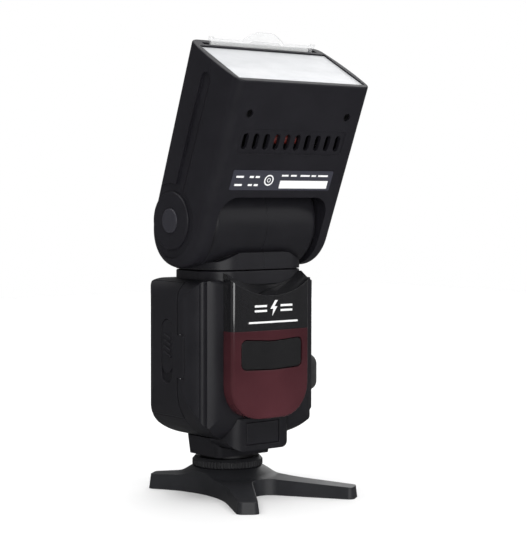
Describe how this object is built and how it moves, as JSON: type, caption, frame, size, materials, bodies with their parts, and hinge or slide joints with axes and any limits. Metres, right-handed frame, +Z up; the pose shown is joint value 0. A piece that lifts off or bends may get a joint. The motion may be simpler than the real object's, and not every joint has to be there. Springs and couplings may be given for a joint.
{
  "type": "camera flash",
  "caption": "Hot-shoe flash with tilting and swivelling zoom head, red focus-assist window and side battery door, in a four-legged mini stand.",
  "frame": {"origin": "on the table, at the mouth of the stand's tripod thread, which is on the hot shoe's axis", "axes": "+Z up, -Y towards the front of the flash with the red window, +X to the right when facing the front"},
  "size_m": [0.0812, 0.0813, 0.2031],
  "materials": {
    "stand_plastic": "satin moulded plastic",
    "brass": "turned",
    "bright_metal": "bright plated",
    "gold_contacts": "gold plated",
    "wheel_plastic": "satin moulded plastic",
    "body_plastic": "fine spark-eroded grain",
    "head_plastic": "fine spark-eroded grain",
    "lock_button_plastic": "satin",
    "gloss_cover": "polished",
    "red_window": "polished translucent",
    "smoked_window": "polished smoked",
    "lamp_lens": "clear tinted",
    "blackened_screw": "blackened",
    "cell_wrap": "printed sleeve",
    "tray_plastic": "moulded",
    "soft_rubber": "soft",
    "circuit_board": "solder mask",
    "capacitor_sleeve": "shrink sleeve",
    "lcd_glass": "grey-green",
    "clear_window": "polished",
    "key_rubber": "satin keys",
    "pilot_lamp": "tinted",
    "dial_plastic": "satin",
    "lens_plastic": "ribbed",
    "panel_clear": "clear",
    "card_white": "matte white",
    "label_film": "matte film",
    "reflector_metal": "bright",
    "tube_glass": "clear",
    "coil_enamel": "enamelled wire",
    "motor_steel": "drawn can"
  },
  "bodies": {
    "stand": {"stand_base": "stand_plastic", "stand_thread_insert": "brass"},
    "flash_body": {"foot_plate": "bright_metal", "contact_pins": "gold_contacts", "threaded_collar": "blackened_screw", "neck_block": "body_plastic", "neck_front_panel": "body_plastic", "neck_screws": "blackened_screw", "front_housing": "body_plastic", "rear_housing": "body_plastic", "front_cover": "gloss_cover", "af_window": "red_window", "sensor_window": "smoked_window", "af_lamps": "lamp_lens", "door_hinge_pin": "bright_metal", "battery_tray": "tray_plastic", "battery_cells": "cell_wrap", "main_board": "circuit_board", "display_board": "circuit_board", "main_capacitor": "capacitor_sleeve", "lcd_panel": "lcd_glass", "display_window": "clear_window", "side_sockets": "tray_plastic", "neck_collar": "body_plastic"},
    "lock_wheel": {"lock_ring": "wheel_plastic"},
    "door": {"battery_door": "body_plastic", "door_contacts": "bright_metal"},
    "latch": {"battery_latch": "body_plastic"},
    "rubber_cover": {"port_cover": "soft_rubber"},
    "key_1": {"function_button_1": "key_rubber"},
    "key_2": {"function_button_2": "key_rubber"},
    "key_3": {"function_button_3": "key_rubber"},
    "key_4": {"function_button_4": "key_rubber"},
    "set_key": {"set_button": "key_rubber"},
    "test_key": {"test_button": "pilot_lamp"},
    "switch": {"power_switch": "key_rubber"},
    "dial": {"select_dial": "dial_plastic"},
    "swivel": {"swivel_left": "body_plastic", "swivel_right": "body_plastic", "swivel_retainer": "bright_metal", "tilt_shaft": "bright_metal"},
    "head": {"head_front_shell": "head_plastic", "head_back_shell": "head_plastic", "fresnel_lens": "lens_plastic", "side_cap_left": "head_plastic", "side_cap_right": "head_plastic", "label_plate": "label_film", "head_screws": "blackened_screw", "panel_guide": "tray_plastic", "guide_rods": "bright_metal", "zoom_motor": "motor_steel", "trigger_coil": "coil_enamel"},
    "lock_button": {"tilt_lock_button": "lock_button_plastic"},
    "wide_panel": {"wide_panel": "panel_clear"},
    "white_card": {"bounce_card": "card_white"},
    "zoom_unit": {"zoom_carriage": "tray_plastic", "reflector": "reflector_metal", "flash_tube": "tube_glass"},
    "zoom_screw": {"lead_screw": "bright_metal"}
  },
  "joints": [
    {"name": "stand_slide", "type": "slide", "parent": "stand", "child": "flash_body", "axis": [0, 1, 0], "range_m": [0, 0.022]},
    {"name": "lock_ring_turn", "type": "hinge", "parent": "flash_body", "child": "lock_wheel", "pos_m": [0, 0, 0.013], "axis": [0, 0, 1], "continuous": true},
    {"name": "head_pan", "type": "hinge", "parent": "flash_body", "child": "swivel", "pos_m": [0, -0.0077, 0.1], "axis": [0, 0, 1], "range_deg": [-180, 180]},
    {"name": "head_tilt", "type": "hinge", "parent": "swivel", "child": "head", "pos_m": [0, -0.0077, 0.1214], "axis": [1, 0, 0], "range_deg": [-22.4, 67.6]},
    {"name": "tilt_lock_press", "type": "slide", "parent": "head", "child": "lock_button", "axis": [1, 0, 0], "range_m": [0, 0.0016], "stiffness_N_per_m": 300},
    {"name": "wide_panel_slide", "type": "slide", "parent": "head", "child": "wide_panel", "axis": [0, -0.3811, 0.9245], "range_m": [-0.0018, 0.028]},
    {"name": "bounce_card_slide", "type": "slide", "parent": "head", "child": "white_card", "axis": [0, -0.3811, 0.9245], "range_m": [-0.0005, 0.028]},
    {"name": "zoom_slide", "type": "slide", "parent": "head", "child": "zoom_unit", "axis": [0, -0.3811, 0.9245], "range_m": [-0.012, 0.005]},
    {"name": "lead_screw_turn", "type": "hinge", "parent": "head", "child": "zoom_screw", "pos_m": [0.0304, -0.03045, 0.1661], "axis": [0, -0.3811, 0.9245], "range_deg": [-1080, 450]},
    {"name": "battery_door_swing", "type": "hinge", "parent": "flash_body", "child": "door", "pos_m": [-0.0343, -0.0111, 0.0628], "axis": [0, 0, 1], "range_deg": [0, 95]},
    {"name": "battery_latch_slide", "type": "slide", "parent": "door", "child": "latch", "axis": [0, 0, -1], "range_m": [0, 0.004]},
    {"name": "port_cover_swing", "type": "hinge", "parent": "flash_body", "child": "rubber_cover", "pos_m": [0.0361, -0.0031, 0.0505], "axis": [0, 0, 1], "range_deg": [0, 110]},
    {"name": "function_1_press", "type": "slide", "parent": "flash_body", "child": "key_1", "axis": [0, -1, 0], "range_m": [0, 0.0006], "stiffness_N_per_m": 300},
    {"name": "function_2_press", "type": "slide", "parent": "flash_body", "child": "key_2", "axis": [0, -1, 0], "range_m": [0, 0.0006], "stiffness_N_per_m": 300},
    {"name": "function_3_press", "type": "slide", "parent": "flash_body", "child": "key_3", "axis": [0, -1, 0], "range_m": [0, 0.0006], "stiffness_N_per_m": 300},
    {"name": "function_4_press", "type": "slide", "parent": "flash_body", "child": "key_4", "axis": [0, -1, 0], "range_m": [0, 0.0006], "stiffness_N_per_m": 300},
    {"name": "set_press", "type": "slide", "parent": "flash_body", "child": "set_key", "axis": [0, -1, 0], "range_m": [0, 0.0006], "stiffness_N_per_m": 300},
    {"name": "test_press", "type": "slide", "parent": "flash_body", "child": "test_key", "axis": [0, -1, 0], "range_m": [0, 0.0006], "stiffness_N_per_m": 300},
    {"name": "power_switch_slide", "type": "slide", "parent": "flash_body", "child": "switch", "axis": [0, 0, 1], "range_m": [0, 0.004]},
    {"name": "select_dial_turn", "type": "hinge", "parent": "flash_body", "child": "dial", "pos_m": [0, 0.016, 0.043], "axis": [0, 1, 0], "continuous": true}
  ],
  "couplings": [
    {"joint": "lead_screw_turn", "follows": "zoom_slide", "rad_per_m": 1570.8}
  ]
}
